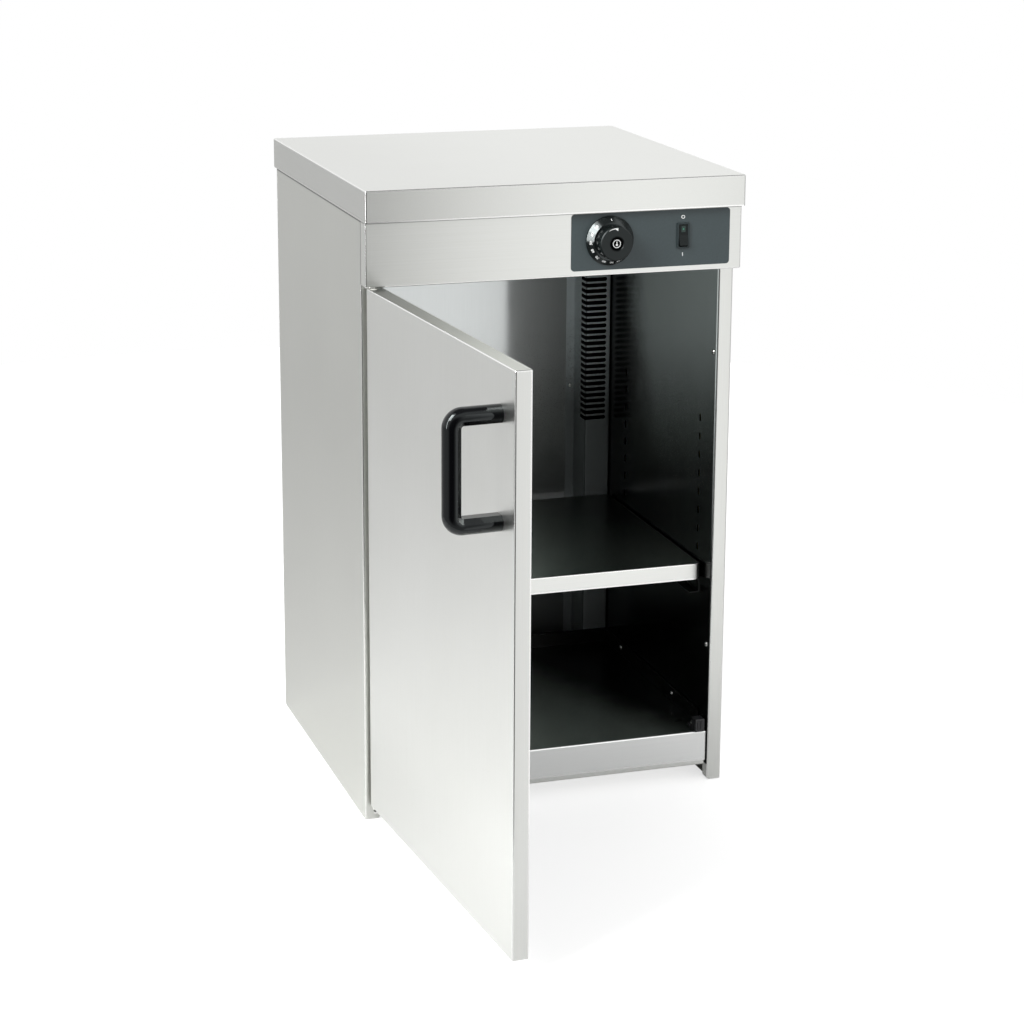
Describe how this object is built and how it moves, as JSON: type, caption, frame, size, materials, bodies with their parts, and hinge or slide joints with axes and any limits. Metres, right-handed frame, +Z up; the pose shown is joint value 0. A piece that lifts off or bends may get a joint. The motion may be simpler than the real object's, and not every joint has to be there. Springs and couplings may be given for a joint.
{
  "type": "plate warmer cabinet",
  "caption": "Free-standing double-walled steel cabinet that warms plates, with a side-hung door, shelf, slotted heating ducts, dial thermostat and lit rocker switch.",
  "frame": {"origin": "on the floor, under the middle of the cabinet body", "axes": "+X to the right of someone facing the door, +Y to the rear, +Z up"},
  "size_m": [0.4796, 0.8777, 0.75],
  "materials": {
    "brushed_steel": "stainless steel, fine brushed grain, satin",
    "liner_steel": "stainless steel, mill finish, darker inside the chamber",
    "control_plate": "anodised plate, satin black",
    "dial": "black moulding, semi-gloss, white figures",
    "handle": "black moulding, high gloss",
    "switch_bezel": "black moulding, satin",
    "switch_rocker": "black moulding, semi-gloss",
    "pilot_lens": "translucent green lens",
    "black_plastic": "moulded black phenolic",
    "terminal": "moulded off-white",
    "gland": "moulded black nylon",
    "cable_sheath": "black rubber sheath",
    "heater_sheath": "oxidised heater sheath",
    "capillary": "copper capillary and bulb",
    "insulation": "mineral wool",
    "bush": "natural acetal",
    "catch": "moulded catch",
    "pin_steel": "turned steel",
    "screws": "plated screw"
  },
  "bodies": {
    "cabinet": {"worktop": "brushed_steel", "side_panel_left": "brushed_steel", "side_panel_right": "brushed_steel", "back_panel": "brushed_steel", "control_fascia": "brushed_steel", "control_plate": "control_plate", "liner_left": "liner_steel", "liner_right": "liner_steel", "liner_back": "liner_steel", "liner_ceiling": "liner_steel", "floor_pan": "liner_steel", "base_plate": "liner_steel", "corner_duct_left": "liner_steel", "corner_duct_right": "liner_steel", "shelf": "brushed_steel", "shelf_runner_left": "liner_steel", "shelf_runner_right": "liner_steel", "heating_element": "heater_sheath", "heater_brackets": "liner_steel", "thermostat_body": "black_plastic", "thermostat_sensor": "capillary", "sensor_clips": "liner_steel", "switch_housing": "switch_bezel", "terminal_block": "terminal", "supply_tail": "cable_sheath", "cable_gland": "gland", "gland_nut": "gland", "insulation_left": "insulation", "insulation_right": "insulation", "insulation_back": "insulation", "insulation_top": "insulation", "hinge_bracket_lower": "liner_steel", "hinge_bracket_upper": "liner_steel", "pivot_pin_lower": "pin_steel", "pivot_pin_upper": "pin_steel", "hinge_screws": "screws", "catch_body": "catch", "catch_poles": "pin_steel", "catch_screws": "screws", "liner_screws": "screws", "floor_pan_screws": "screws", "duct_screws": "screws", "back_panel_screws": "screws", "thermostat_screws": "screws"},
    "door": {"door_skin": "brushed_steel", "door_inner_cover": "liner_steel", "door_core": "insulation", "door_handle": "handle", "handle_screws": "screws", "pivot_bush_lower": "bush", "pivot_bush_upper": "bush", "striker_plate": "screws", "striker_screw": "screws"},
    "dial": {"dial_knob": "dial", "thermostat_shaft": "pin_steel"},
    "rocker": {"switch_rocker": "switch_rocker", "pilot_lens": "pilot_lens"}
  },
  "joints": [
    {"name": "door_hinge", "type": "hinge", "parent": "cabinet", "child": "door", "pos_m": [-0.2145, -0.2215, 0.329], "axis": [0, 0, -1], "range_deg": [-86, 34]},
    {"name": "thermostat_dial", "type": "hinge", "parent": "cabinet", "child": "dial", "pos_m": [0.0625, -0.2278, 0.6805], "axis": [0, -1, 0], "range_deg": [-212, 0]},
    {"name": "rocker_switch", "type": "hinge", "parent": "cabinet", "child": "rocker", "pos_m": [0.152, -0.2253, 0.682], "axis": [1, 0, 0], "range_deg": [0, 14]}
  ]
}
